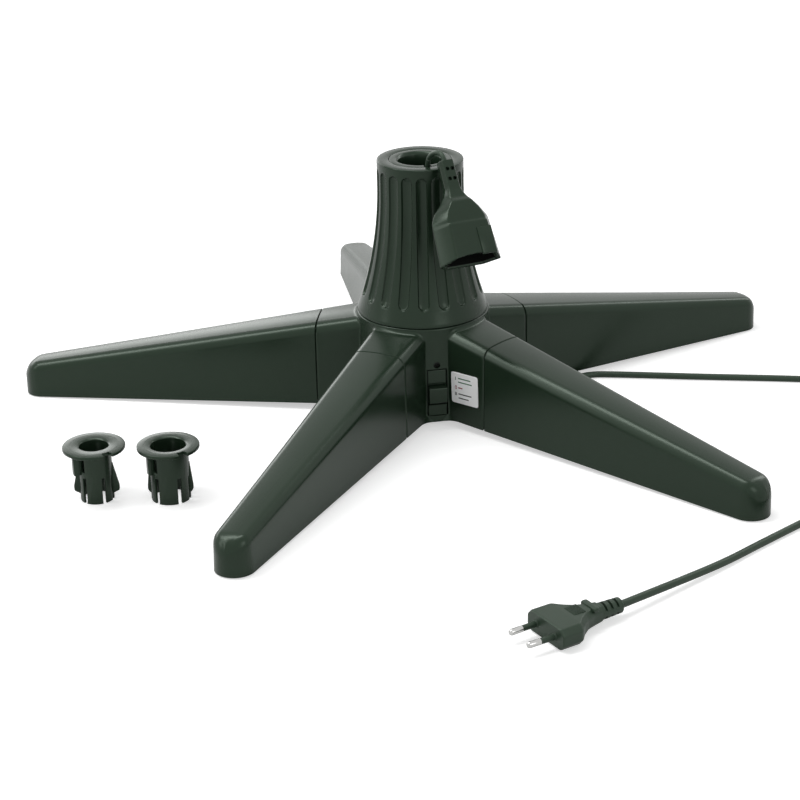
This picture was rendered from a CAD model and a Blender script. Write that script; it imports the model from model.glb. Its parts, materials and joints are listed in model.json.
# %% [markdown]
# # A rotating tree stand
# Five hollow legs plug onto a moulded hub. A fluted turret turns on it and takes the
# tree's pole. A mains lead with a flat plug, a trailing socket and two loose adapters
# complete it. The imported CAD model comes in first, as a fixed frame: every length
# below is in its millimetres, and `MM` turns it into Blender's metres.

# %% Load the frame
import json
import bmesh
import bpy
import numpy as np
from mathutils import Matrix


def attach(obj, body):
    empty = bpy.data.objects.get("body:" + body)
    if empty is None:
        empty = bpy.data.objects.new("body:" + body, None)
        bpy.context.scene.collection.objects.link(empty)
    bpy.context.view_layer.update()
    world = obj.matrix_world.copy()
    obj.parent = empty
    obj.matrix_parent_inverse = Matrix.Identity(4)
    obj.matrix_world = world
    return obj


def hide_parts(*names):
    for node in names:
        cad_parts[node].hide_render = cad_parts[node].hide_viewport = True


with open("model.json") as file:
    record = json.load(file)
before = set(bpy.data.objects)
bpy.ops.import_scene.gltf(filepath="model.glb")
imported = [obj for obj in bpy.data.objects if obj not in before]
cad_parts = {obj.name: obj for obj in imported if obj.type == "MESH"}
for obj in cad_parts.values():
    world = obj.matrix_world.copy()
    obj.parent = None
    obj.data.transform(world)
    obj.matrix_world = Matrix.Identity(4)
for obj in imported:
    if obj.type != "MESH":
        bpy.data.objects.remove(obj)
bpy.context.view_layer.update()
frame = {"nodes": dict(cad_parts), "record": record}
scene = bpy.context.scene
MM = 0.001

# %% [markdown]
# The camera repeats the photograph's view. Its place and axes were fitted to the five
# leg tips, the turret's rings and the two adapters. A camera looks along its own -Z,
# so its matrix holds the right, up and backward directions as columns.

# %% Camera
def matrix_of(x, y, z, at):
    """Blender's matrix with three axes and a place as its columns."""
    return Matrix(np.array([x, y, z, at], float).T.tolist() + [[0, 0, 0, 1]])


def linked(name, data):
    """A new object with that data, put into the scene."""
    obj = bpy.data.objects.new(name, data)
    scene.collection.objects.link(obj)
    return obj


scene.view_settings.view_transform = "Standard"
camera = linked("camera", bpy.data.cameras.new("camera"))
view_right = np.array([0.980919, -0.193338, -0.020494])
view_up = np.array([0.094652, 0.382816, 0.918964])
view_back = np.cross(view_right, view_up)
camera.matrix_world = matrix_of(view_right, view_up, view_back, (-0.28133, -1.40029, 0.61341))
camera.data.lens = 94.885
camera.data.clip_end = 20
scene.camera = camera
print("camera looks along", [round(-float(c), 4) for c in view_back])

# %% [markdown]
# Every new piece is a grid of points worked out with numpy, joined by quads. One
# function makes the quads of a grid, which may close round on itself either way and
# may have flat ends. Another puts several grids into one object, in which Blender
# turns the faces of every closed shape outward.

# %% Grids and pieces
def stacked(*parts):
    """Arrays and numbers brought to one shape and put side by side, such as x, y and z."""
    return np.stack(np.broadcast_arrays(*parts), -1)


def grid(points, wrap_u=False, wrap_v=False, ends=False, keep=None):
    """Quads between the rows (u) and columns (v) of points[u, v, xyz].

    A wrap joins the last row or column to the first, ends adds a face over the first and
    the last row, and keep says which quads stay.
    """
    points = np.asarray(points, float)
    nu, nv = points.shape[:2]
    i = np.arange(nu if wrap_u else nu - 1)[:, None]
    j = np.arange(nv if wrap_v else nv - 1)[None, :]
    here, ahead, beside = i * nv, (i + 1) % nu * nv, (j + 1) % nv
    quads = stacked(here + j, ahead + j, ahead + beside, here + beside)
    quads = (quads if keep is None else quads[keep]).reshape(-1, 4)
    caps = [list(range(nv)), list(range((nu - 1) * nv, nu * nv))] if ends else []
    return points.reshape(-1, 3), quads.tolist() + caps


def piece(name, grids, body, material, replaces=(), crease=32, slot="dark_green_plastic"):
    """One object from grids in millimetres, which rides on body and stands for the CAD nodes in replaces.

    Points within a micrometre of each other are welded, which drops collapsed quads.
    """
    starts = np.cumsum([0] + [len(p) for p, _ in grids])
    faces = [[k + start for k in face] for start, (_, fs) in zip(starts.tolist(), grids) for face in fs]
    mesh = bpy.data.meshes.new(name)
    mesh.from_pydata((np.concatenate([p for p, _ in grids]) * MM).tolist(), [], faces)
    work = bmesh.new()
    work.from_mesh(mesh)
    bmesh.ops.remove_doubles(work, verts=work.verts, dist=1e-6)
    bmesh.ops.recalc_face_normals(work, faces=work.faces)
    work.to_mesh(mesh)
    work.free()
    mesh.shade_smooth()
    mesh.set_sharp_from_angle(angle=np.radians(crease))
    obj = linked(name, mesh)
    mesh.materials.append(material)
    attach(obj, body)
    if replaces:
        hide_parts(*replaces)
    print(name, len(mesh.polygons), "faces")
    return obj


def turn(points, degrees):
    """All points turned about Z by that angle."""
    a = np.radians(degrees)
    x, y, z = np.moveaxis(np.asarray(points, float), -1, 0)
    return stacked(x * np.cos(a) - y * np.sin(a), x * np.sin(a) + y * np.cos(a), z)


def polar(r, a, z):
    """Points at radius r, angle a and height z."""
    return stacked(r * np.cos(a), r * np.sin(a), z)


def unit(vectors):
    """Every vector divided by its length."""
    return vectors / np.linalg.norm(vectors, axis=-1, keepdims=True)


def turned(grids, degrees):
    """The grids turned about Z."""
    return [(turn(p, degrees), f) for p, f in grids]


def moved(grids, by):
    """The grids moved by a vector."""
    return [(p + np.asarray(by, float), f) for p, f in grids]


def placed(grids, at, x, y, z):
    """The grids in a frame of their own, given by its origin and its three axes."""
    return [(np.asarray(at, float) + p @ np.array([x, y, z], float), f) for p, f in grids]


def revolve(profile, steps=192, sweep=360, start=0):
    """A closed outline of (r, z) points carried round Z, once or through a part of a turn with flat ends."""
    whole = sweep == 360
    a = np.radians(start + np.linspace(0, sweep, steps, endpoint=not whole))[:, None]
    r, z = np.asarray(profile, float).T
    return grid(polar(r, a, z), wrap_u=whole, wrap_v=True, ends=not whole)


def rounded(corners, cut, steps=5):
    """Closed outlines [..., corner, xy] whose corners are parabolas that start at the distance cut from them."""
    c = np.asarray(corners, float)
    back, ahead = (way * np.minimum(0.48, cut / np.linalg.norm(way, axis=-1, keepdims=True))
                   for way in (np.roll(c, 1, -2) - c, np.roll(c, -1, -2) - c))
    t = np.linspace(0, 1, steps)[:, None]
    points = c[..., None, :] + back[..., None, :] * (1 - t) ** 2 + ahead[..., None, :] * t ** 2
    return points.reshape(*c.shape[:-2], -1, 2)


def raised(outlines, heights):
    """Outlines [row, point, xy] with a height for every row."""
    z = np.broadcast_to(np.asarray(heights, float)[:, None, None], outlines.shape[:2] + (1,))
    return np.concatenate([outlines, z], -1)


def loft(outlines, heights):
    """Outlines stacked at those heights and closed at both ends."""
    return grid(raised(outlines, heights), wrap_v=True, ends=True)


def eased(x, at, values, blur=1.2):
    """Straight lines between the values, averaged over blur to either side so that they bend softly."""
    near = np.asarray(x, float)[..., None] + np.linspace(-blur, blur, 9)
    return np.interp(near, at, values).mean(-1)


def block(low, high, bevel=0.4):
    """A box between two corners with all its edges bevelled."""
    (x0, y0, z0), (x1, y1, z1) = low, high
    b = bevel * np.array([1, 0.3, 0, 0, 0, 0.3, 1])[:, None, None]
    outline = np.array([[x0, y0], [x1, y0], [x1, y1], [x0, y1]], float)
    inward = np.array([[1, 1], [-1, 1], [-1, -1], [1, -1]])
    heights = [z0, z0 + bevel * 0.3, z0 + bevel, (z0 + z1) / 2, z1 - bevel, z1 - bevel * 0.3, z1]
    return loft(rounded(outline + inward * b, bevel * 1.2, 4), heights)


# %% [markdown]
# A material is a small tree of nodes. Its colours are the hex values that a screen
# shows, turned to the linear numbers that light uses. One function adds any node,
# with its settings and the values or links of its sockets. Moulded plastic has a fine
# grain from the spark-eroded mould: it hardly shows, but it breaks up the highlights.

# %% Materials
def linear(hex_colour):
    """sRGB hex to linear RGBA: the standard curve, channel by channel."""
    c = np.array([int(hex_colour[i:i + 2], 16) for i in (1, 3, 5)]) / 255
    return (*np.where(c <= 0.04045, c / 12.92, ((c + 0.055) / 1.055) ** 2.4), 1.0)


def add(tree, kind, settings=(), **sockets):
    """One node: settings are its properties, and each socket gets a value, another node or a node's output."""
    node = tree.nodes.new("ShaderNode" + kind)
    for key, value in settings:
        setattr(node, key, value)
    for key, value in sockets.items():
        socket = node.inputs[int(key[1:]) if key[0] == "_" and key[1:].isdigit() else key.replace("_", " ")]
        if isinstance(value, bpy.types.Node):
            value = value.outputs[0]
        if isinstance(value, bpy.types.NodeSocket):
            tree.links.new(value, socket)
        else:
            socket.default_value = value
    return node


def math(tree, operation, *values):
    """One calculation on values or nodes."""
    return add(tree, "Math", [("operation", operation)], **{"_%d" % k: value for k, value in enumerate(values)})


def tree_of(name):
    """A new empty node material and its output's socket for the surface."""
    material = bpy.data.materials.new(name)
    material.use_nodes = True
    tree = material.node_tree
    tree.nodes.clear()
    return material, tree, add(tree, "OutputMaterial").inputs["Surface"]


def moulded(name, low, high, rough=(0.3, 0.4), grain=0.8, height=0.03, drift=60, **uniform):
    """A plastic or metal skin.

    The colour drifts between low and high over patches of about drift mm, and the
    roughness with it. The grain has that size in mm and stands height mm high.
    """
    material, tree, surface = tree_of(name)
    place = add(tree, "TexCoord").outputs["Object"]
    broad = add(tree, "TexNoise", Vector=place, Scale=1000 / drift, Detail=3.0)
    fine = add(tree, "TexNoise", Vector=place, Scale=1000 / grain, Detail=2.0)
    colour = add(tree, "Mix", [("data_type", "RGBA")], Factor=broad, _6=linear(low), _7=linear(high))
    gloss = add(tree, "MapRange", Value=broad, From_Min=0.15, From_Max=0.85, To_Min=rough[0], To_Max=rough[1])
    bump = add(tree, "Bump", Height=fine, Distance=height * MM, Strength=1.0)
    skin = add(tree, "BsdfPrincipled", Base_Color=colour.outputs[2], Roughness=gloss, Normal=bump, **uniform)
    tree.links.new(skin.outputs[0], surface)
    return material


green_abs = moulded("moulded_green_abs", "#1a281c", "#1e2c20", (0.22, 0.28), grain=0.8, height=0.01,
                    Specular_IOR_Level=0.32, Specular_Tint=(0.84, 1.0, 0.86, 1.0))
green_pvc = moulded("soft_green_pvc", "#243226", "#2a382c", (0.38, 0.46), grain=0.5, height=0.008,
                    Specular_IOR_Level=0.4, Specular_Tint=(0.86, 1.0, 0.88, 1.0))
inks = ("green", "#3f6b50", "#4a765a"), ("red", "#8e3444", "#9c4050"), ("black", "#2a2c2b", "#343635")
green_ink, red_ink, black_ink = (moulded(name + "_printing_ink", low, high, (0.4, 0.5), height=0.002)
                                 for name, low, high in inks)
black_zinc = moulded("black_zinc_plated_steel", "#1b1d1b", "#262926", (0.3, 0.45), height=0.004, Metallic=1.0)
black_nylon = moulded("moulded_black_nylon", "#101110", "#161716", (0.4, 0.55))
matt_insert = moulded("matt_black_insert", "#040604", "#070907", (0.8, 0.9), Specular_IOR_Level=0.1)
natural_nylon = moulded("moulded_natural_nylon", "#e2dfd0", "#ece9dc", (0.35, 0.5))
zinc_steel = moulded("zinc_plated_steel", "#9a9a94", "#b4b4ac", (0.25, 0.4), Metallic=1.0)
ground_steel = moulded("ground_bearing_steel", "#b4b6b8", "#c6c8ca", (0.14, 0.22), height=0.004, Metallic=1.0)
brass = moulded("pressed_brass_strip", "#c4a050", "#d4b060", (0.2, 0.32), height=0.006, Metallic=1.0)
chrome = moulded("nickel_plated_brass", "#bdbdbb", "#cacac8", (0.07, 0.12), height=0.003, Metallic=1.0)
rubber = moulded("moulded_rubber", "#0e0e0e", "#161616", (0.6, 0.75), height=0.05)
carbon = moulded("pressed_carbon", "#141312", "#1e1d1b", (0.5, 0.7), height=0.05)
film = moulded("printed_white_film", "#f8f9f9", "#fdfdfd", (0.32, 0.4), height=0.004)

finish_of = {
    "dark_green_plastic": green_abs, "green_pvc": green_pvc, "black_plastic": black_nylon,
    "natural_nylon": natural_nylon, "zinc_plated_steel": zinc_steel, "motor_can": zinc_steel,
    "bearing_steel": ground_steel, "brass_strip": brass, "pin_chrome": chrome, "foot_rubber": rubber,
    "brush_carbon": carbon, "label_film": film,
}
for part in frame["record"]["subparts"]:
    mesh = frame["nodes"][part["node"]].data
    mesh.materials.clear()
    mesh.materials.append(finish_of[part["material_slot"]])

# %% [markdown]
# The five legs are one moulding used five times: long, open below, with rounded upper
# edges, a slight crown and a nose that turns down at the tip. One could box-model it
# and smooth it, but the mould's rules are simple, so it is a loft: an outline across
# the leg, whose half width, top and lower edge are functions of the distance x from
# the axis. The wall is 2.6 mm, so the inner skin is the same outline, 2.6 mm smaller.

# %% The leg's outline
REACH, TIP_R, NOSE_R, WALL = 300.0, 13.6, 14.0, 2.6
NOSE_X = REACH - TIP_R
ROOT_W, ROOT_H, TIP_H, ROOT_X = 21.5, 66.2, 27.6, 60.0
STUB_X, LEG_X = 75.6, 76.0
EDGE_R, DRAFT, CROWN = 8.0, 0.7, 0.6
slope = (ROOT_H - TIP_H) / (REACH - 15 - STUB_X)
nose_cx = REACH - NOSE_R
nose_cz = ROOT_H - slope * (nose_cx - STUB_X) - NOSE_R * np.hypot(1, slope)


def leg_half(x, inset=0.0):
    """Half width: a straight taper from 21.5 at x = 60, then a half circle in plan, all less the inset."""
    straight = ROOT_W + (TIP_R - ROOT_W) * (x - ROOT_X) / (NOSE_X - ROOT_X) - inset
    return np.where(x < NOSE_X, straight, np.sqrt(np.clip((TIP_R - inset) ** 2 - (x - NOSE_X) ** 2, 0, None)))


def leg_top(x):
    """Height of the top: a straight fall from 66.2, then a circle of the nose's radius."""
    round_part = nose_cz + np.sqrt(np.clip(NOSE_R ** 2 - (x - nose_cx) ** 2, 0, None))
    return np.where(x < nose_cx + NOSE_R * np.sin(np.arctan(slope)), ROOT_H - slope * (x - STUB_X), round_part)


def leg_low(x):
    """Height of the lower edge, which rises by 4.7 from the tip to the hub."""
    return 0.8 + 4.7 * np.clip((NOSE_X - x) / (NOSE_X - ROOT_X), 0, None)


# four numbers for each point across: share of the side's height, cosine and sine of the
# edge's arc, and share of the flat top; the other half is the mirror image
bend = np.radians(np.linspace(0, 90, 10))
share_side = np.concatenate([[0, 0.03, 0.075, 0.35, 0.7], np.ones(17)])
edge_cos = np.concatenate([np.ones(5), np.cos(bend), np.zeros(7)])
edge_sin = np.concatenate([np.zeros(5), np.sin(bend), np.ones(7)])
share_top = np.concatenate([np.ones(15), np.linspace(1, 0, 8)[1:]])
side_of = np.concatenate([np.ones(22), -np.ones(21)])
share_side, edge_cos, edge_sin, share_top = (np.concatenate([v, v[-2::-1]])
                                             for v in (share_side, edge_cos, edge_sin, share_top))


def outline(x, inset=0.0):
    """Points across the leg at every x, from the flat top or the side, the rounded edge, the draft and the crown."""
    half, top, low = leg_half(x, inset), leg_top(x) - inset, leg_low(x)
    upper = np.maximum(half - DRAFT * np.minimum(1, half / TIP_R), 0)
    smaller = 0.15 * np.clip(1 - (REACH - x) / 100, 0, None)
    edge = np.minimum(EDGE_R * (1 - smaller) - 0.8 * inset, upper * 0.94)
    crown = CROWN * np.minimum(1, half / ROOT_W) * (inset == 0)
    y = share_top * (upper - edge) + edge * edge_cos + (1 - share_side) * (half - upper)
    z = low + (top - edge - low) * share_side + edge * edge_sin + crown * (1 - share_top ** 2)
    return stacked(x, side_of * y, z)


# %% [markdown]
# A leg is that outline carried along x, once outside and once inside, with a closed
# root, three cross ribs below and a boss for the foot's pad. Its end is drawn in by a
# little where it meets the stub, which leaves the fine groove of the joint. The other
# four are the same leg, each turned 72 degrees further.

# %% Legs
GROOVE_L, ROOT_END, RIB_PITCH, FIRST_TURN, LEG_TURN = 0.45, 80.0, 47.5, 18, 72
JOINT_MID = np.array([0, 0, 34])


def drawn_in(row):
    """The last row of points at a joint, drawn in across x by 2.2 percent."""
    return row + 0.022 * (JOINT_MID - row) * [0, 1, 1]


nose = np.radians([*range(6, 67, 6), 71, 76, 80, 84, 87, 90])
steps = np.linspace(0, 1, 22)
along = np.concatenate([[LEG_X, LEG_X + GROOVE_L], ROOT_END + (NOSE_X - ROOT_END) * steps,
                        NOSE_X + TIP_R * np.sin(nose)])[:, None]
within = np.concatenate([[ROOT_END, ROOT_END + 0.1], 84 + (NOSE_X - 84) * steps,
                         NOSE_X + (TIP_R - WALL) * np.sin(nose)])[:, None]
outer, inner = outline(along), outline(within, WALL)
outer[0] = drawn_in(outer[0])
n = outer.shape[1]
shell = grid(np.concatenate([outer, inner[:, ::-1]], 1), wrap_v=True)
root = (np.concatenate([outer[0], inner[0]]), [list(range(n)), list(range(n, 2 * n)), [0, n - 1, 2 * n - 1, n]])
ribs = []
for x in (ROOT_END + RIB_PITCH * k for k in (1, 2, 3)):
    plate = outline(np.array([[x - 1], [x + 1]]), WALL - 0.3)
    plate[:, [0, -1], 2] += 2
    ribs.append(grid(plate, ends=True))
pad_boss = moved([revolve([(0, 3), (10, 3), (10, 24), (0, 24)], 48)], (282.4, 0, 0))
for k, side in enumerate(("right", "back", "left", "front_left", "front_right")):
    piece("moulded_leg_" + side, turned([shell, root] + ribs + pad_boss, FIRST_TURN + LEG_TURN * k),
          "base", green_abs, ["leg_" + side])

# %% [markdown]
# The hub is a slightly conical wall with five stubs, moulded in one. A sharp meeting
# of stub and wall would look cut out of card: the mould has a soft fillet there. So
# each stub is a loft that starts on the wall itself and swells outward as it comes
# near it, by F - sqrt(F^2 - (F - d)^2) at the distance d, which is a quarter circle.
# At the sides that circle also touches the round wall, and its centre follows from
# the two radii. Towards the lower edge F grows from 1.2 mm to 14 mm, so that two
# neighbouring stubs meet in one arch.

# %% Stubs
SCREW_X, SCREW_HOLE, HUB_LOW, HUB_TOP = STUB_X - 9, 3.85, 4.8, 74.05
TOP_FILLET, SIDE_FILLET, ARCH_FILLET, ARCH_SHARE = 2.6, 1.2, 12.8, 0.075


def hub_r(z):
    """Radius of the hub's conical wall at height z."""
    return 50 + (47.6 - 50) * (z - 4.0) / (HUB_TOP - 4.0)


def stub():
    """A stub's skin, its underside with the recess for the leg's screw, and a tongue in the joint."""
    low_part = np.clip(1 - share_side / ARCH_SHARE, 0, 1) ** 1.5
    fillet = TOP_FILLET * edge_sin + (SIDE_FILLET + ARCH_FILLET * low_part) * edge_cos
    side_row = edge_sin == 0
    u = np.append(np.linspace(0, 1, 30)[:-1] ** 2.0, [0.982, 1])[:, None]
    wall_x = np.full_like(edge_cos, 46.0)
    for _ in range(6):  # each round finds more closely where the stub starts on the wall
        x = wall_x + (STUB_X - wall_x) * u
        skin = outline(x)
        r, flank = hub_r(skin[0, :, 2]), np.abs(skin[0, :, 1])
        centre_x = np.sqrt(np.where(side_row, (r + fillet) ** 2 - (flank + fillet) ** 2, 1))
        start = np.where(side_row, centre_x - fillet, wall_x)
        flare = fillet - np.sqrt(fillet ** 2 - np.clip(fillet - (x - start), 0, fillet) ** 2)
        skin[..., 1] += side_of * flare * edge_cos
        skin[..., 2] += flare * edge_sin - (leg_low(x) - HUB_LOW) * low_part * np.clip(flare / fillet, 0, 1) ** 0.5
        top_x = np.sqrt(np.clip(hub_r(skin[0, :, 2]) ** 2 - skin[0, :, 1] ** 2, 1, None))
        wall_x = np.where(side_row, centre_x * r / (r + fillet), top_x)
    skin[-1] = drawn_in(skin[-1])
    a = np.linspace(-1, 1, 11)[1:-1] * np.arctan2(skin[0, 0, 1], skin[0, 0, 0])
    root_edge = polar(hub_r(skin[0, 0, 2]), a, skin[0, 0, 2])
    joint_y = np.linspace(1, -1, 13)[1:-1] * skin[-1, 0, 1]
    joint_edge = stacked(STUB_X, joint_y, skin[-1, 0, 2])
    rim = np.concatenate([skin[:, 0], joint_edge, skin[::-1, -1], root_edge])
    way = unit(rim[:, :2] - [SCREW_X, 0])
    loops = [rim]
    for r, up in ((SCREW_HOLE + 0.3, 0), (SCREW_HOLE + 0.08, 0.08), (SCREW_HOLE, 0.3), (SCREW_HOLE, 2.5)):
        loops += [np.concatenate([way * r + [SCREW_X, 0], np.full((len(way), 1), leg_low(SCREW_X) + up)], 1)]
    recess = (loops[-1], [list(range(len(rim)))])
    face = np.concatenate([skin[-1], joint_edge[::-1]])
    tongue = JOINT_MID + 0.93 * (face - JOINT_MID)
    tongue[:, 0] = STUB_X
    joint = [face, tongue, tongue + [LEG_X - STUB_X - 0.02, 0, 0]]
    joint_end = (joint[-1], [list(range(len(face)))])
    return [grid(skin), grid(np.array(loops), wrap_v=True), recess, grid(np.array(joint), wrap_v=True), joint_end]


# %% [markdown]
# The wall has a window for the switch and a recess for the screw above it. A Boolean
# would leave long thin faces that shade badly, so the quads of the wall's grid that
# lie in the window are left out, and rings of quads lead from that gap to the edge of
# the opening, over a small rounded lip and into the depth.

# %% Hub
half_x = np.array([0.85, 1.7, 2.55, 3.4, 5, 6.5, 7.95, 9, 10.5, 12])
front_x = np.concatenate([-half_x[::-1], [0], half_x])
rows_z = np.concatenate([HUB_LOW + np.array([0, 0.15, 0.6]), [7, 9.4, 10.9], np.linspace(14, 40, 9), [43.6],
                         np.linspace(45.1, 50.9, 7), np.linspace(54, 73.6, 9), [HUB_TOP]])
WINDOW, HOLE = (-7.7, 7.7, 9.65, 44.95), (0.0, 47.9, 2.35)
WINDOW_CELLS, HOLE_CELLS = (-7.95, 7.95, 9.4, 45.1), (-3.4, 3.4, 45.1, 50.9)
lip_r = np.zeros(len(rows_z))
lip_r[:3] = -0.6, -0.17, 0


def on_wall(x, z, depth=0.0):
    """The point of the conical wall that stands before (x, z), sunk by a depth."""
    return stacked(x, depth - np.sqrt(hub_r(z) ** 2 - x ** 2), z)


def border(x0, x1, z0, z1):
    """The grid's points round a rectangle of its cells, as (x, z), once round."""
    xs = front_x[(front_x >= x0 - 1e-6) & (front_x <= x1 + 1e-6)]
    zs = rows_z[(rows_z >= z0 - 1e-6) & (rows_z <= z1 + 1e-6)]
    return np.concatenate([stacked(xs[:-1], z0), stacked(x1, zs[:-1]), stacked(xs[:0:-1], z1), stacked(x0, zs[:0:-1])])


def cells_in(x0, x1, z0, z1):
    """Which cells of the front grid lie in a rectangle."""
    x, z = (front_x[:-1, None] + front_x[1:, None]) / 2, (rows_z[None, :-1] + rows_z[None, 1:]) / 2
    return (x > x0) & (x < x1) & (z > z0) & (z < z1)


def wall_ring(profile):
    """A line of (r, z) points carried round with the wall's own columns, so that it welds to it."""
    columns = np.concatenate([np.arctan2(-np.sqrt(hub_r(HUB_LOW) ** 2 - front_x ** 2), front_x), angle[1:-1, 0]])
    r, z = np.asarray(profile, float).T
    return grid(polar(r, columns[:, None], z), wrap_u=True)


front = on_wall(front_x[:, None], rows_z[None, :])
front[..., :2] *= 1 + (lip_r / hub_r(rows_z))[:, None]
gap = cells_in(*WINDOW_CELLS) | cells_in(*HOLE_CELLS)
start = -np.arccos(front_x[-1] / hub_r(rows_z))
angle = start + (2 * np.pi - 2 * (start + np.pi / 2)) * np.linspace(0, 1, 150)[:, None]
around = polar(hub_r(rows_z) + lip_r, angle, rows_z)
edge = border(*WINDOW_CELLS)
middle = np.clip(edge, [WINDOW[0] + 1.5, WINDOW[2] + 1.5], [WINDOW[1] - 1.5, WINDOW[3] - 1.5])
cut = middle + 1.5 * unit(edge - middle)
window = [on_wall(*edge.T), on_wall(*(cut * 0.7 + edge * 0.3).T, 0.02),
          on_wall(*(cut * 0.92 + edge * 0.08).T, 0.1), on_wall(*cut.T, 0.3), on_wall(*cut.T, 5)]
edge = border(*HOLE_CELLS)
way = unit(edge - HOLE[:2])
hole = [on_wall(*edge.T)] + [on_wall(*(way * (HOLE[2] + r) + HOLE[:2]).T, depth)
                             for r, depth in ((0.18, 0), (0.05, 0.05), (0, 0.2), (0, 3))]
top_edge = [(hub_r(HUB_TOP), HUB_TOP), (47.45, 74.5), (47.1, 74.85), (46.6, 75.05), (45, 75.05), (45, 69.55),
            (20.6, 69.55), (20.6, 66.55), (45, 66.55), (45, HUB_LOW), (hub_r(HUB_LOW) - 0.6, HUB_LOW)]
hub = [grid(front, keep=~gap), grid(around), grid(np.array(window), wrap_v=True),
       grid(np.array(hole), wrap_v=True), wall_ring(top_edge)]
for k in range(5):
    hub += turned(stub(), FIRST_TURN + LEG_TURN * k)
piece("moulded_hub", hub, "base", green_abs, ["hub_shell"], crease=40)

# %% [markdown]
# The turret flares out like a trumpet, and eighteen flutes with round ends are sunk
# 2.1 mm into it. Its radius is one function of height and angle: the flare's circle,
# less the flute's depth where the distance to the flute's outline says so. The grid's
# columns follow that outline from row to row, so that the flutes keep crisp edges.

# %% Turret
RIM_Z, SKIRT_Z, FLARE_Z, NECK_R, SKIRT_R = 186.0, 75.55, 168.0, 30.6, 47.4
FLUTES, FLUTE_W, FLUTE_D, FLUTE_LOW, FLUTE_HIGH, FLUTE_TURN = 18, 7.6, 2.1, 87.0, 180.0, -100.0
NOTCH_TURN, NOTCH_W = -86.0, 5.2
flare_r = ((FLARE_Z - SKIRT_Z) ** 2 + (SKIRT_R - NECK_R) ** 2) / (2 * (SKIRT_R - NECK_R))


def turret_r(z):
    """Radius without flutes: the neck's, then a circle that reaches the skirt's radius at the seam."""
    fall = np.clip(FLARE_Z - z, 0, None)
    return NECK_R + flare_r - np.sqrt(flare_r ** 2 - fall ** 2)


def turret():
    """The fluted skin, its rounded lower edge and rim, and the inner wall."""
    half = FLUTE_W / 2
    low, high = FLUTE_LOW + half, FLUTE_HIGH - half
    ends = half * np.sin(np.radians([90, 88, 84, 78, 70, 60, 48, 34, 18, 0]))
    z = np.concatenate([[SKIRT_Z + 0.5, 78, 81, 84, 85.6, 86.5], low - ends, np.linspace(low, high, 46)[1:-1],
                        high + ends[::-1], [180.5, 181.4, 183, 184.8]])[:, None, None]
    past = np.clip(abs(z - (low + high) / 2) - (high - low) / 2, 0, None)
    wide = np.sqrt(np.clip(half ** 2 - past ** 2, 0, None))
    pitch = 2 * np.pi / FLUTES
    r = turret_r(z)
    lip = np.array([0.55, 0.25, 0.08, -0.12, -0.34, -0.62, -1.1, -1.9, -2.8])
    spread = np.linspace(1, 0, 5)[:-1]
    far = pitch / 2 * r
    outside = (wide + 0.55) + (far - wide - 0.55) * spread
    inside = np.maximum(wide + lip[1:], 0) * np.ones_like(z)
    across = np.concatenate([-outside, -(wide + 0.55) * np.ones((1, 1, 1)), -inside, 0 * r, inside[..., ::-1],
                             wide + 0.55, outside[..., :0:-1]], -1)
    near = half - np.hypot(across, past)
    t = np.clip((near + 0.3) / 0.75, 0, 1)
    depth = FLUTE_D * (0.6 * t * t * (3 - 2 * t) + 0.4 * np.sin(np.pi / 2 * np.clip(near / half, 0, 1)))
    a = np.radians(FLUTE_TURN) + pitch * np.arange(FLUTES)[None, :, None] + across / r
    skin = polar(r - depth, a, z).reshape(len(z), -1, 3)
    # over the rim and down inside, with the columns of the skin's rows at each end
    a_top, a_low = (np.arctan2(skin[i, :, 1], skin[i, :, 0]) for i in (-1, 0))
    upper = [(30.6, 185.4), (30.45, 185.8), (30.1, 186), (22.6, 186), (22.3, 185.8), (22.2, 185.5), (22.2, 183.6),
             (19.2, 183.6), (19.2, 179), (26.8, 179), (26.8, 168)]
    lower = [(turret_r(z) - 3.8, z) for z in (140, 110, 90)]
    lower += [(43.6, SKIRT_Z), (46.9, SKIRT_Z), (47.2, SKIRT_Z + 0.15)]
    upper, lower = (np.array(profile)[:, :, None] for profile in (upper, lower))
    notch = abs((a_top - np.radians(NOTCH_TURN) + np.pi) % (2 * np.pi) - np.pi) < NOTCH_W / 2 / 21
    inner_r = np.where(notch & (upper[:, 0] < 22), 22.05, upper[:, 0])
    bands = [polar(lower[:, 0], a_low, lower[:, 1]), polar(inner_r, a_top, upper[:, 1])]
    return [grid(np.concatenate([bands[0], skin, bands[1]]), wrap_u=True, wrap_v=True)]


piece("fluted_turret", turret(), "turret", green_abs, ["turret_shell"], crease=40)

# %% [markdown]
# The pole tube shows only its flange and its bore, which has a bevelled lip to guide
# the tree. Both are turned shapes, so one outline carried round the axis gives them.
# The lead of the socket comes up through a notch, so the upper part stops short there.

# %% Pole tube
BORE_R, TUBE_R = 15.65, 18.5
tube_low = [(0, 30), (18.2, 30), (TUBE_R, 30.3), (TUBE_R, 63.25), (17.95, 63.25), (17.95, 64.85), (TUBE_R, 64.85),
            (TUBE_R, 177), (BORE_R, 177), (BORE_R, 33), (0, 33)]
tube_high = [(BORE_R, 177), (BORE_R, 183.9), (15.8, 184.2), (17.2, 185.7), (17.5, 185.9), (17.9, 186), (21.4, 186),
             (21.7, 185.9), (21.86, 185.7), (21.9, 185.4), (21.9, 183.65), (TUBE_R, 183.65), (TUBE_R, 177)]
tube_parts = [revolve(tube_low), revolve(tube_high, 180, 360 - 15, NOTCH_TURN + 7.5)]
piece("bored_pole_tube", tube_parts, "turret", green_abs, ["pole_tube"], crease=30)

# %% [markdown]
# The switch sits in the window: a frame with a well, a rocker that tips in it and a
# screw in a recess. The rocker's side view is one outline, pushed through its width.
# Its lower half stands out now, because the upper half is pressed. A Bevel modifier
# rounds the long edges, as a mould does.

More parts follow.
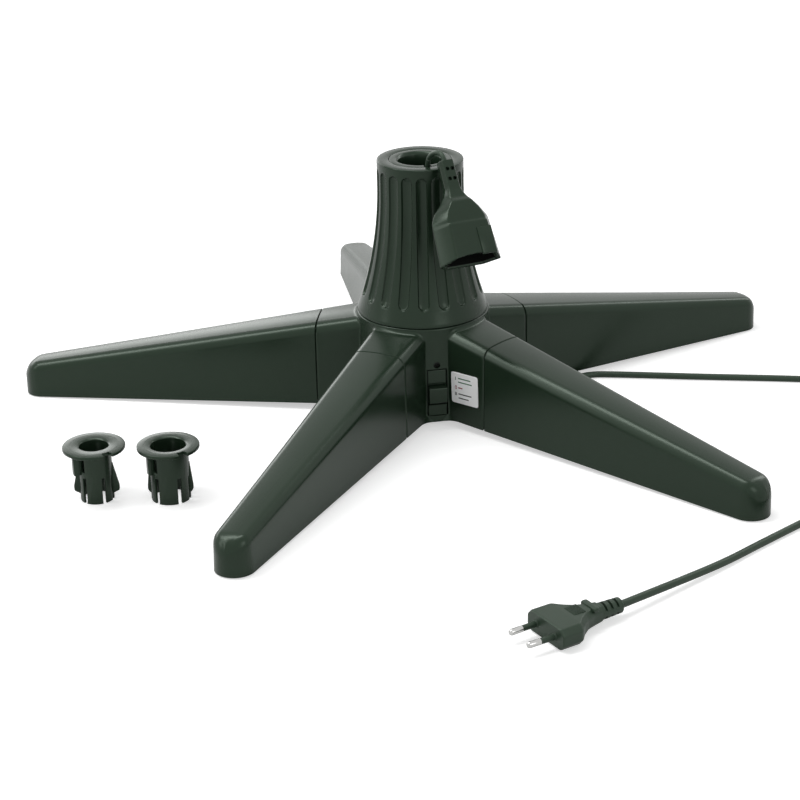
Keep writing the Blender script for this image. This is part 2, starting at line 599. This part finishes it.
# %% Switch
SWITCH_Z, PIVOT_Y, ROCKER_X = 31.0, 43.075, 6.5
ACROSS = (0, 1, 0), (0, 0, 1), (1, 0, 0)  # a part drawn along Z is laid along X


def pushed(side_view, x0, x1):
    """An outline of (outward, up) points pushed from x0 to x1."""
    outline = np.asarray(side_view, float) * [-1, 1]
    return placed([loft(np.stack([outline, outline]), [x0, x1])], (0, 0, 0), *ACROSS)


def softened(obj, width, segments=3):
    """A Bevel modifier of that width in mm on the object's sharper edges."""
    bevel = obj.modifiers.new("softened_edges", "BEVEL")
    bevel.width, bevel.segments, bevel.limit_method, bevel.angle_limit = width * MM, segments, "ANGLE", np.radians(30)
    return obj


sweep = np.radians(np.linspace(-112, -68, 9))
well_low = stacked(PIVOT_Y + 14.3 * np.cos(sweep), SWITCH_Z + 14.3 * np.sin(sweep))
sill = np.concatenate([[[34, 9.75], [48.7, 9.75], [48.7, 17.7]], well_low[::-1], [[34, 17.5]]])
frame_parts = pushed(sill, -6.5, 6.5)
for x0, x1 in ((-7.65, -6.85), (6.85, 7.65)):
    frame_parts += pushed([(30, 9.75), (44.6, 9.75), (44.6, 44.85), (30, 44.85)], x0, x1)
frame_parts += pushed([(30, 9.75), (33.9, 9.75), (33.9, 50.5), (42, 50.5), (42, 51.5), (30, 51.5)], -7.6, 7.6)
frame_parts += [block((-0.4, -30, SWITCH_Z + z - 2.4), (0.4, -25.2, SWITCH_Z + z + 2.4), 0.2) for z in (-8, 0, 8)]
softened(piece("switch_frame", frame_parts, "base", green_abs, ["switch_body"], slot="black_plastic"), 0.25)

rocker_view = np.array([(-2, -12.9), (3.6, -13.2), (8.2, -11.1), (9.2, -10.4), (9.5, -9.4), (9.5, 0.1), (9.1, 0.7),
                        (5.2, 1.6), (3.2, 1.7), (3.2, 2.5), (4.3, 2.7), (4.6, 3.1), (4.5, 12.2), (4.0, 12.9),
                        (-2, 13.1), (-2.6, 5), (-2.6, -5)]) + [PIVOT_Y, SWITCH_Z]
pin = placed([revolve([(0, -7.3), (1.2, -7.3), (1.2, 7.3), (0, 7.3)], 32)], (0, -PIVOT_Y, SWITCH_Z), *ACROSS)
rocker_parts = pushed(rocker_view, -ROCKER_X, ROCKER_X) + pin
softened(piece("tipping_rocker", rocker_parts, "rocker_switch", green_abs, ["rocker"]), 0.35)


def screw_head(radius, depth=0.9):
    """A domed head as a polar grid whose middle is sunk where |x| or |y| is small, which makes the cross recess."""
    r, a = np.linspace(0, radius, 22)[:, None], 2 * np.pi * np.arange(64)[None, :] / 64
    x, y = r * np.cos(a), r * np.sin(a)
    arm_x = np.maximum(abs(x) / (radius * 0.62), abs(y) / (radius * 0.15))
    arm_y = np.maximum(abs(y) / (radius * 0.62), abs(x) / (radius * 0.15))
    z = -0.25 * (r / radius) ** 2 - depth * np.clip((1.15 - np.minimum(arm_x, arm_y)) / 0.3, 0, 1)
    below = polar(np.array([[radius], [0]]), a, -depth - 0.6)
    return [grid(np.concatenate([stacked(x, y, z), below]), wrap_v=True)]


shank = [revolve([(0, -9), (1.45, -9), (1.45, -1.4), (0, -1.4)], 24)]
head = placed(screw_head(2.25) + shank, (0, -hub_r(HOLE[1]) + 1.0, HOLE[1]), (1, 0, 0), (0, 0, 1), (0, -1, 0))
piece("switch_cross_screw", head, "base", black_zinc, ["switch_screw"], slot="zinc_plated_steel")

# %% [markdown]
# The plate beside the switch is white film on the side of the front right stub. Its
# words are left off: a bar, a ring and two bars mark the switch's three positions, as
# on any such switch, and thin lines stand for the rest. They are raised 0.05 mm, like
# thick ink, because a picture would need an image file.

# %% Label
LABEL_Z, LABEL_W, LABEL_H, STUB_TURN = 32.5, 12, 11.5, 306  # half width and half height
label_x = np.sqrt(hub_r(LABEL_Z) ** 2 - ROOT_W ** 2) + LABEL_W + 3
side_slope = np.arctan((ROOT_W - TIP_R) / (NOSE_X - ROOT_X))
side_tip = np.arctan(DRAFT / (ROOT_H - EDGE_R))
along_side = np.array([np.cos(side_slope), np.sin(side_slope), 0])
off_side = np.array([np.sin(side_slope) * np.cos(side_tip), -np.cos(side_slope) * np.cos(side_tip), np.sin(side_tip)])
up_side = np.cross(along_side, -off_side)
lean = np.radians(2)
label_at = np.array([label_x, -float(leg_half(label_x)), LABEL_Z])
label_right = np.cos(lean) * along_side + np.sin(lean) * up_side
label_up = np.cos(lean) * up_side - np.sin(lean) * along_side
label_frame = [turn(v, STUB_TURN) for v in (label_at, label_right, label_up, off_side)]


def flat(half_w, half_h, centre=(0, 0), low=0.0, high=0.5, corner=2.0):
    """A flat plate with rounded corners on the label's plane."""
    box = np.array([[-1, -1], [1, -1], [1, 1], [-1, 1]]) * [half_w, half_h]
    insets = (0, 0, min(0.12, half_h / 3))
    rows = [rounded(box * (1 - inset / np.array([half_w, half_h])), corner, 7) + centre for inset in insets]
    return loft(np.array(rows), [low, high - min(0.12, (high - low) / 2), high])


def stroke(half_w, half_h, centre):
    """A stroke of ink, 0.05 mm thick, on the film."""
    return flat(half_w, half_h, centre, 0.42, 0.47, 0.1)


def lines(*sizes):
    """Strokes for the words: each has a half length and a height, and all start at the same margin."""
    return [stroke(w, 0.42, (-5.6 + w, z)) for w, z in sizes]


def on_label(name, grids, material, replaces=()):
    """A piece that lies on the label's plane."""
    return piece(name, placed(grids, *label_frame), "base", material, replaces, slot="label_film")


on_label("label_film_plate", [flat(LABEL_W, LABEL_H, high=0.42)], film, ["label_plate"])
edge = rounded(np.array([[-1, -1], [1, -1], [1, 1], [-1, 1]]) * [LABEL_W, LABEL_H], 2, 7)
edge_rows = raised(np.array([edge * k for k in (0.985, 0.975, 0.935, 0.925)]), [0.41, 0.5, 0.5, 0.41])
on_label("label_raised_edge", [grid(edge_rows, wrap_v=True)], film)
ring_a = 2 * np.pi * np.arange(32) / 32
nought = np.array([stacked(w * np.cos(ring_a) - 7.7, h * np.sin(ring_a) + 0.3, z)
                   for w, h, z in ((0.95, 1.35, 0.42), (0.95, 1.35, 0.47), (0.55, 0.95, 0.47), (0.55, 0.95, 0.42))])
on_label("label_mark_one", [stroke(0.28, 1.2, (-7.9, 7.0))] + lines((5.6, 7.4), (6.2, 4.6)), green_ink)
on_label("label_mark_nought", [grid(nought, wrap_v=True), stroke(1.9, 0.42, (-3.7, 0.3))], red_ink)
on_label("label_mark_two", [stroke(0.28, 1.2, (x, -4.6)) for x in (-8.3, -7.3)] + lines((5.9, -4.3), (4.6, -7.4)),
         black_ink)

# %% [markdown]
# The adapters are turned shapes with slots, fingers and two springy fins. The wall is
# a single sheet: a grid of angle and height in which some quads are left out. Solidify
# then gives it the wall's 1.5 mm and Bevel softens the edges, which no Boolean does
# as cleanly.

# %% Adapters
FLANGE_TURN, FIN_TURNS, KEY_TURN = -66.0, (-11.0, 169.0), 192.0
FIN_GAP, WALL_T, FLANGE_IN = 14, 1.5, 16.3


def wall_sheet(r):
    """The slotted wall at its outer radius.

    Each opening has a middle angle, a half width, and a low and a high edge. A quad is
    left out where its own middle lies well inside one.
    """
    openings = [(turn_by + s * FIN_GAP, 5.5, 0, 17) for turn_by in FIN_TURNS for s in (-1, 1)]
    openings += [(-138, 6, 0, 18.5), (-67.25, 6.25, 0, 18.5), (42, 6, 0, 18.5), (112.75, 6.25, 0, 18.5),
                 (218.5, 10.5, 22.5, 32.5)]
    cuts = np.array([middle + s * half for middle, half, _, _ in openings for s in (-1, 1)])
    a = np.unique(np.concatenate([np.arange(-150, 210, 4.0), (cuts + 150) % 360 - 150]))
    a = a[np.concatenate([[True], np.diff(a) > 0.6])]
    z = np.array([0.25, 1, 4, 8, 12, 15, 17, 18.5, 20.5, 22.5, 25, 28, 31, 32.5, 34.5, 37.4])
    mid_a, mid_z = ((a + np.append(a[1:], a[0] + 360)) / 2)[:, None], ((z[:-1] + z[1:]) / 2)[None, :]
    gap = sum((abs((mid_a - middle + 180) % 360 - 180) < 0.95 * half) & (mid_z > low) & (mid_z < high)
              for middle, half, low, high in openings)
    radius = r - 0.5 * ((a[:, None] < -104 - 26 * (20.8 - z) / 19) & (a[:, None] > -132.5) & (z < 20))
    return grid(polar(radius, np.radians(a)[:, None], z), wrap_u=True, keep=gap == 0)


def fin(r):
    """A wedge that springs out at the bottom: an outline of (radius, height), 1.8 mm thick."""
    outline = np.array([(r - 0.9, 4.2), (r + 0.2, 4), (14.9, 5.8), (15.25, 7), (15.25, 9.6), (r + 0.25, 26),
                        (r - 0.9, 26)])
    return [loft(np.stack([outline, outline]), [-0.9, 0.9])]


def adapter(name, bore_r, at, node):
    """One adapter: the slotted wall as a sheet, and the flange with its gap, the two fins and the key."""
    r = bore_r + WALL_T
    sheet = piece(name + "_wall", moved([wall_sheet(r)], at), "base", green_abs, [node])
    thick = sheet.modifiers.new("wall", "SOLIDIFY")
    thick.thickness, thick.offset = WALL_T * MM, -1
    softened(sheet, 0.18, 2)
    seam = [(FLANGE_IN, 39), (FLANGE_IN, 36.6)]
    inner = [(bore_r, 36.6), (bore_r, 38.1), (bore_r + 0.9, 38.9), (bore_r + 1.2, 39)]
    outer = [(20.3, 39), (20.6, 38.9), (20.9, 38.4), (20.9, 36.9), (20.6, 36.6)]
    ring = [revolve(inner + seam, 96), revolve(seam[::-1] + outer, 120, 360 - 18.4, FLANGE_TURN + 9.2)]
    upright = placed(fin(r), (0, 0, 0), (1, 0, 0), (0, 0, 1), (0, -1, 0))
    fins = [g for turn_by in FIN_TURNS for g in turned(upright, turn_by)]
    key = turned([block((r - 0.9, -2.5, 19.5), (15.25, 2.5, 37), 0.5)], KEY_TURN)
    softened(piece(name + "_flange", moved(ring + fins + key, at), "base", green_abs), 0.15, 2)


adapter("small_adapter", 9.75, (-246.0, -107.7, 0.0), "adapter_small")
adapter("large_adapter", 11.75, (-197.6, -118.4, 0.0), "adapter_large")

# %% [markdown]
# A lead's route is a list of points, the same as in the CAD source, joined by
# Catmull-Rom curves, and a small ring of points is carried along it. The part that the
# photograph cuts off is wound into a coil on the floor, just outside the view.

# %% Mains lead
CORD_R, FLOOR_Z = 2.4, 2.4
GLAND_TURN, GLAND_Z, GLAND_L = -16.0, 12.0, 26.0
PLUG_TURN, PLUG_AT = 21.0, np.array([-3.7, -362.9, 7.4])
gland_way, gland_side = turn(np.array([[1.0, 0, 0], [0, 1.0, 0]]), GLAND_TURN)
plug_way, plug_side = turn(np.array([[1.0, 0, 0], [0, 1.0, 0]]), PLUG_TURN)
lead_start = gland_way * 78.7 + [0, 0, GLAND_Z]
plug_neck = PLUG_AT + 54 * plug_way


def catmull(points, steps):
    """Catmull-Rom curve through the points, with that many steps between two of them."""
    p = np.asarray(points, float)
    k = np.arange(len(p) - 1)
    a, b, c, d = p[np.maximum(k - 1, 0)], p[:-1], p[1:], p[np.minimum(k + 2, len(p) - 1)]
    u = (np.arange(steps) / steps)[:, None, None]
    curve = 0.5 * (2 * b + (c - a) * u + (2 * a - 5 * b + 4 * c - d) * u ** 2 + (3 * b - a - 3 * c + d) * u ** 3)
    return np.concatenate([curve.transpose(1, 0, 2).reshape(-1, 3), p[-1:]])


def tube(path, radius, sides=20):
    """A ring of points carried along a path, kept level with the floor, with flat ends."""
    ahead = unit(np.gradient(path, axis=0))
    steep = abs(ahead[:, 2:]) > 0.9
    side = unit(np.cross(np.where(steep, [0.0, -1, 0], [0.0, 0, 1]), ahead))
    over = np.cross(ahead, side)
    a = 2 * np.pi * np.arange(sides)[None, :, None] / sides
    r = np.broadcast_to(np.asarray(radius, float).reshape(-1, 1, 1), (len(path), 1, 1))
    return grid(path[:, None] + r * (side[:, None] * np.cos(a) + over[:, None] * np.sin(a)), wrap_v=True, ends=True)


def coil(turns_in=2.5, turns_out=2 + 1 / 6, r0=34.0, pitch=5.4, rise=5.3, dip=1.2):
    """A spiral: inwards on the floor, half a turn of climb, then outwards on top; the climb swings in by the dip."""
    t = np.linspace(0, turns_in + 0.5 + turns_out, 125)
    r_in = r0 - pitch * turns_in
    r_out = r_in + pitch * (t - turns_in - 0.5)
    r = np.where(t < turns_in, r0 - pitch * t, np.where(t < turns_in + 0.5, r_in, r_out))
    r = r - dip * np.sin(np.pi * np.clip(t - turns_in + 0.3, 0, 1)) ** 2
    climb = np.clip((t - turns_in) / 0.5, 0, 1)
    return polar(r, -2 * np.pi * t, FLOOR_Z + rise * (1 - np.cos(np.pi * climb)) / 2) + [283, -160, 0]


def on_floor(*places):
    """The middle of the cord where it lies on the floor, at each (x, y)."""
    return [[x, y, FLOOR_Z] for x, y in places]


lead_route = [lead_start, lead_start + 6 * gland_way, [92.5, -23, 7], [103, -13, 4]]
lead_route += on_floor((110, 0), (119, 10), (131, 14), (150, 10), (209, -9), (270, -28), (292, -37), (307, -53),
                       (315, -75), (317, -105), (317, -140), (317, -160))
coil_path = coil()
coil_end, coil_way = coil_path[-1], unit(coil_path[-1] - coil_path[-2])
tail_route = [coil_end + 4.8 * coil_way, coil_end + 16.8 * coil_way, [268, -213, 3.4]]
tail_route += on_floor((240, -231), (205, -251), (160, -278)) + [[120, -303, 3.4], plug_neck + 6 * plug_way, plug_neck]
mains_path = np.concatenate([catmull(lead_route, 8)[:-1], coil_path, catmull(tail_route, 8)])
mains_path[:, 2] = np.maximum(mains_path[:, 2], FLOOR_Z)
mains_path = mains_path[np.concatenate([[True], np.linalg.norm(np.diff(mains_path, axis=0), axis=1) > 0.2])]
mains = piece("mains_lead", [tube(mains_path, CORD_R)], "base", green_pvc, ["cord_lead", "cord_coil", "cord_tail"],
              slot="green_pvc")

# %% [markdown]
# Where the lead leaves the hub and the plug, a soft sleeve tapers off round it, with
# slots that let it bend. They are bites taken out of the sleeve's radius.

# %% Strain reliefs
def relief(r0, r1, length, first, pitch, slots, deep, cord_r=2.5):
    """A tapered sleeve along +X whose slots are bites out of its radius at two sides."""
    slot_x = [first + k * pitch + np.array([-0.85, -0.75, 0.75, 0.85]) for k in range(slots)]
    x = np.unique(np.concatenate([np.linspace(0, length, 12)] + slot_x))[:, None]
    a = 2 * np.pi * np.arange(64)[None, :] / 64
    taper = r0 + (r1 - r0) * x / length
    near = np.abs((x - first) % pitch)
    near = np.minimum(near, pitch - near)
    bite = (near < 0.8) & (x > first - 1) & (x < first + (slots - 1) * pitch + 1)
    side = np.clip((abs(np.sin(a)) - 0.35) / 0.15, 0, 1)
    tip_x, tip_r = length + np.array([[0.4], [0.4], [-2], [-2]]), np.array([[r1 - 0.4], [cord_r], [cord_r], [0.1]])
    x = np.concatenate([[[0]], x, tip_x])
    r = np.concatenate([0.1 + 0 * a, taper - bite * side * deep * taper, tip_r + 0 * a])
    return [grid(stacked(x, r * np.cos(a), r * np.sin(a)), wrap_v=True, ends=True)]


gland = placed(relief(4.0, 3.0, GLAND_L, 7, 4, 5, 0.32), gland_way * 52.7 + [0, 0, GLAND_Z],
               gland_way, gland_side, (0, 0, 1))
collar = [(0, 0), (5.8, 0), (6, 0.2), (6, 3), (5.8, 3.2), (3.95, 3.2), (3.95, 9.2), (4.9, 9.2), (5.2, 9.5),
          (5.2, 11.4), (4.9, 11.7), (3.9, 11.7), (0, 11.7)]
gland += placed([revolve(collar, 64)], gland_way * 41 + [0, 0, GLAND_Z], (0, 0, 1), gland_side, gland_way)
piece("slotted_cord_gland", gland, "base", green_pvc, ["cord_gland"], crease=30, slot="green_pvc")

# %% [markdown]
# The plug is a loft too: a flat eight-sided outline with soft corners, whose width falls
# from 36 mm to 11 mm behind the grip. The grip is a patch of fine ribs, and a raised
# bar behind it gives the fingers a hold.

# %% Plug
PLUG_T, PIN_PITCH, PIN_L = 13.8, 18.6, 19.0
x = np.unique(np.concatenate([[0, 0.2, 0.6, 1.1], np.linspace(2, 38, 60)]))
front_edge = 1.1 * (1 - np.clip(x / 1.1, 0, 1)) ** 2
wide = eased(x, [0, 14, 15, 19, 25, 31, 38], [36, 36, 35, 26.5, 18, 13.6, 11], 0.9) - front_edge
thick = eased(x, [0, 16, 30, 38], [PLUG_T, PLUG_T, 12.9, 11], 2.0) - front_edge
side_h = eased(x, [0, 38], [3.2, 3.0])
flat_w = wide / 2 - np.minimum(3.3, wide * 0.22)
half_w, half_t = wide / 2, thick / 2
octagon = stacked([half_w, half_w, flat_w, -flat_w, -half_w, -half_w, -flat_w, flat_w],
                  [-side_h, side_h, half_t, half_t, side_h, -side_h, -half_t, -half_t]).transpose(1, 0, 2)
plug_parts = placed([loft(rounded(octagon, 0.9, 5), x)], (0, 0, 0), *ACROSS)
plug_parts += [block((30.2, -6.8, 4.2), (34.6, 6.8, 7.3), 0.9)]
plug_parts += [block((17.2 + 0.8 * k, -5.2, 6.2), (17.65 + 0.8 * k, 5.2, PLUG_T / 2 + 0.22), 0.12) for k in range(11)]
plug_parts += moved(relief(5.5, 4.9, 16.2, 3.6, 4.4, 3, 0.36), (37.5, 0, 0))
plug_frame = (PLUG_AT, plug_way, plug_side, (0, 0, 1))
plug_piece = piece("flat_plug", placed(plug_parts, *plug_frame), "base", green_pvc, ["plug_body"], crease=30,
                   slot="green_pvc")
pin_lean = np.arcsin(0.45 / PIN_L)


def pins(profile):
    """A turned outline of (radius, distance from the face) on both pins, which lean together by 0.9 mm."""
    both = []
    for s in (-1, 1):
        way = np.array([-np.cos(pin_lean), -s * np.sin(pin_lean), 0])
        both += placed([revolve(profile, 48)], (0, s * PIN_PITCH / 2, 0), (0, 0, 1), np.cross(way, [0, 0, 1]), way)
    return placed(both, *plug_frame)


sleeve = [(0, 0), (2.6, 0), (2.5, 0.25), (1.93, 0.6), (1.85, 9.8), (1.7, 10), (0, 10)]
bare = [(0, 10), (1.85, 10), (2.0, 10.15), (2.0, 17.6), (1.85, 18.2), (1.5, 18.7), (1.0, 18.95), (0, PIN_L)]
sleeves = piece("pin_insulation", pins(sleeve), "base", green_pvc, ["pin_sleeves"], slot="black_plastic")
tips = piece("plated_pins", pins(bare), "base", chrome, ["plug_pins"], slot="pin_chrome")

# %% [markdown]
# The trailing socket hangs at the turret's rim on a short lead. It is drawn hanging
# straight down, mouth at the bottom, and then put in its place: turned 18 degrees and
# swung out by 32. Its mouth is a flat hollow, so the skin turns in at the lower edge.

# %% Socket
SOCKET_TOP = np.array([9.8, -36.8, 193.6])
ct, st, cs, ss, cl, sl = (f(np.radians(v)) for v in (18, -32, 2) for f in (np.cos, np.sin))
socket_axes = (np.array([[ct, -st, 0], [st, ct, 0], [0, 0, 1]]) @ np.array([[1, 0, 0], [0, cs, -ss], [0, ss, cs]])
               @ np.array([[cl, 0, sl], [0, 1, 0], [-sl, 0, cl]])).T
drop = -socket_axes[2]


def flat_ring(w, t, b):
    """A six-sided outline of width w and thickness t whose slopes are b wide; the three may be arrays."""
    w, t, b = (np.asarray(v, float)[..., None] for v in (w, t, b))
    x = w / 2 * [-1, 0, 0, 0, 0, 0, 1, 0, 0] + (w / 2 - b) * [0, -1, -0.5, 0, 0.5, 1, 0, 1, -1]
    return stacked(x, t / 2 * [0, -1, -1, -1, -1, -1, 0, 1, 1])


h = np.unique(np.concatenate([np.linspace(-73, -17.5, 62), np.linspace(-17, -3, 71), np.linspace(-2.5, -0.6, 5),
                              [-72.8, -72.4, -0.4, -0.15, 0]]))
stations = [-73, -44.5, -42, -36, -30, -24, -20, 0]
wide = eased(h, stations, [48, 44.6, 44, 37, 24, 14.5, 11, 10.6], 1.0)
thick = eased(h, [-73, -46.4, -45.4, -38, -30.5, -27.5, -22, -20, 0],
              [23, 22.6, 20.8, 20.0, 18.6, 13.2, 10.6, 10, 9.6], 0.5)
slopes = eased(h, stations, [8, 8, 8, 7, 4.5, 2, 1.2, 1.1], 1.0)
edge_in = 0.9 * (1 - np.sqrt(1 - np.clip(1 - np.minimum(h + 73, -h) / 0.6, 0, 1) ** 2))
skin = rounded(flat_ring(wide - edge_in, thick - edge_in, slopes), 1.1, 5)
mouth_h = np.array([-73, -72.7, -72, -65, -53.3, -53])
mouth = rounded(flat_ring([41.0, 40.0, 39.6, 38.6, 37.2, 36.4], [18.4, 17.6, 17.2, 16.4, 15.2, 14.6], 6.5), 1.1, 5)
socket_skin = np.concatenate([raised(mouth, mouth_h)[::-1], raised(skin, h)])


def arched(skin):
    """The mouth's front edge rises in an arch of 4.2 mm, which fades out 20 mm above it."""
    x, y, z = np.moveaxis(skin, -1, 0)
    return stacked(x, y, z + 4.2 * (1 - (x / 24) ** 2) * np.clip(-y / 6, 0, 1) * np.clip((-53 - z) / 20, 0, 1))


socket_skin = arched(socket_skin)
open_rows = (h[:-1] > -16.9) & (h[:-1] < -3.3)
keep = np.ones((len(socket_skin) - 1, socket_skin.shape[1]), bool)
keep[len(mouth):][open_rows, 9:25] = False
skin_points, skin_faces = grid(socket_skin, wrap_v=True, keep=keep)
n = socket_skin.shape[1]
socket_parts = [(skin_points, skin_faces + [list(range(n)), list(range(len(skin_points) - n, len(skin_points)))])]
panel_rows = len(mouth) + np.flatnonzero(open_rows)
panel_rows = np.append(panel_rows, panel_rows[-1] + 1)
share = np.linspace(0, 1, 49)[:, None]
panel = socket_skin[panel_rows, None, 9] * (1 - share) + socket_skin[panel_rows, None, 25] * share
off = np.minimum(abs(panel[..., 2] + 6.5), abs(panel[..., 2] + 13.6))
from_slot = np.hypot(np.maximum(abs(abs(panel[..., 0]) - 1.95) - 0.35, 0), off)
in_hole = np.clip((1.15 - from_slot) / 0.12, 0, 1) * (abs(panel[..., 0]) > 0.6)
panel[..., 1] += 2.6 * in_hole
socket_parts += [grid(panel)]
socket_parts += [block((4.6, -12.3, -70.4), (15.9, -10, -51), 0.7)]


def on_socket(name, grids, material, replaces=(), **more):
    """A piece in the socket's own frame, which turns with the turret."""
    return piece(name, placed(grids, SOCKET_TOP, *socket_axes), "turret", material, replaces, **more)


socket_piece = on_socket("trailing_socket", socket_parts, green_abs, ["socket_body"], crease=28)
well = rounded(flat_ring([36.0, 36.6, 38.7, 39.2, 37.0, 36.3], [14.2, 14.6, 16.4, 16.9, 15.0, 14.5], 6.5), 1.1, 5)
well = arched(raised(well, [-54.2, -54.6, -71.6, -71.6, -54, -53.6]))
well_piece = on_socket("socket_dark_well", [grid(well, wrap_v=True, ends=True)], matt_insert)
contact = [revolve([(2.05, -51), (2.45, -51), (2.45, -40), (2.05, -40)], 32)]
contacts = moved(contact, (-PIN_PITCH / 2, 0, 0)) + moved(contact, (PIN_PITCH / 2, 0, 0))
contact_piece = on_socket("socket_brass_contacts", contacts, brass, ["socket_contacts"], slot="brass_strip")

# %% [markdown]
# The socket's own lead comes out of the notch in the bore, bends over the rim in one
# Bezier curve and runs on for 7.5 mm inside the socket's neck.

# %% Short lead
LEAD_R = 1.8
notch_way = turn(np.array([1.0, 0, 0]), NOTCH_TURN)
lead_up = notch_way * 19.9 + [0, 0, RIM_Z + 0.5]
lead_down = SOCKET_TOP - drop * 2
pull_up, pull_down = lead_up + [0, 0, 9.5], lead_down - drop * 7.5
t = np.linspace(0, 1, 6)[:, None]
rest = 1 - t
bend_route = lead_up * rest ** 3 + pull_up * 3 * t * rest ** 2 + pull_down * 3 * t * t * rest + lead_down * t ** 3
in_bore = [notch_way * 19.3 + [0, 0, 177.4], notch_way * 19.6 + [0, 0, 182]]
in_neck = [SOCKET_TOP + drop * 2.8, SOCKET_TOP + drop * 7.5]
short_path = catmull(np.concatenate([in_bore, bend_route, in_neck]), 6)
short_lead = piece("socket_short_lead", [tube(short_path, LEAD_R, 24)], "turret", green_pvc, ["socket_lead"],
                   slot="green_pvc")

# %% [markdown]
# The stage is a plain white floor under soft light, as for a catalogue picture. The
# world is white to the camera and in reflections, and gentler to the object. The
# floor adds its own share of white for the camera only, and keeps the shadow.

# %% Stage
ends = np.array([-6000, 6000])
floor_points, floor_faces = grid(stacked(ends[:, None], ends, 0))
floor_mesh = bpy.data.meshes.new("floor")
floor_mesh.from_pydata((floor_points * MM).tolist(), [], floor_faces)
linked("floor", floor_mesh)
material, tree, surface = tree_of("white_paper_floor")
rays = add(tree, "LightPath").outputs
paper = add(tree, "BsdfDiffuse", Color=(0.8, 0.8, 0.8, 1))
away = add(tree, "VectorMath", [("operation", "LENGTH")], _0=add(tree, "TexCoord").outputs["Object"])
white = add(tree, "MapRange", Value=away.outputs["Value"], From_Min=0.6, From_Max=2.6, To_Min=0.52, To_Max=0.76)
mirrored = math(tree, "MULTIPLY", rays["Is Glossy Ray"], 0.2)
share = math(tree, "MULTIPLY_ADD", rays["Is Camera Ray"], white, mirrored)
glow = add(tree, "Emission", Color=(1, 1, 1, 1), Strength=share)
tree.links.new(add(tree, "AddShader", _0=paper, _1=glow).outputs[0], surface)
floor_mesh.materials.append(material)

world = bpy.data.worlds.new("soft_white")
scene.world = world
world.use_nodes = True
tree = world.node_tree
tree.nodes.clear()
rays = add(tree, "LightPath").outputs
mirrored = math(tree, "MAXIMUM", rays["Is Glossy Ray"], rays["Is Transmission Ray"])
seen = math(tree, "MAXIMUM", rays["Is Camera Ray"], mirrored)
level = add(tree, "MapRange", Value=seen, To_Min=0.35, To_Max=1.0)
add(tree, "OutputWorld", Surface=add(tree, "Background", Color=(1, 1, 1, 1), Strength=level))


def lamp(name, at, wide, deep, power, aim=(0, 0, 0.08)):
    """A soft box, wide by deep, at a point in metres, turned to its aim."""
    data = bpy.data.lights.new(name, "AREA")
    data.shape, data.size, data.size_y, data.energy = "RECTANGLE", wide, deep, power
    back = unit(np.array(at, float) - aim)
    side = unit(np.cross([0, 1, 0] if abs(back[2]) > 0.9 else [0, 0, 1], back))
    linked(name, data).matrix_world = matrix_of(side, np.cross(back, side), back, at)


lamp("overhead_strip", (-0.55, 0.1, 1.6), 1.6, 0.4, 16)
lamp("back_panel", (-0.9, 1.8, 0.64), 2.1, 0.62, 10.5)
lamp("back_right_strip", (1.35, 0.75, 1.1), 0.3, 1.0, 4)
lamp("left_strip", (-1.5, -0.2, 1.0), 0.3, 1.2, 4)
lamp("front_fill", (0.7, -1.6, 1.0), 0.8, 0.8, 4)
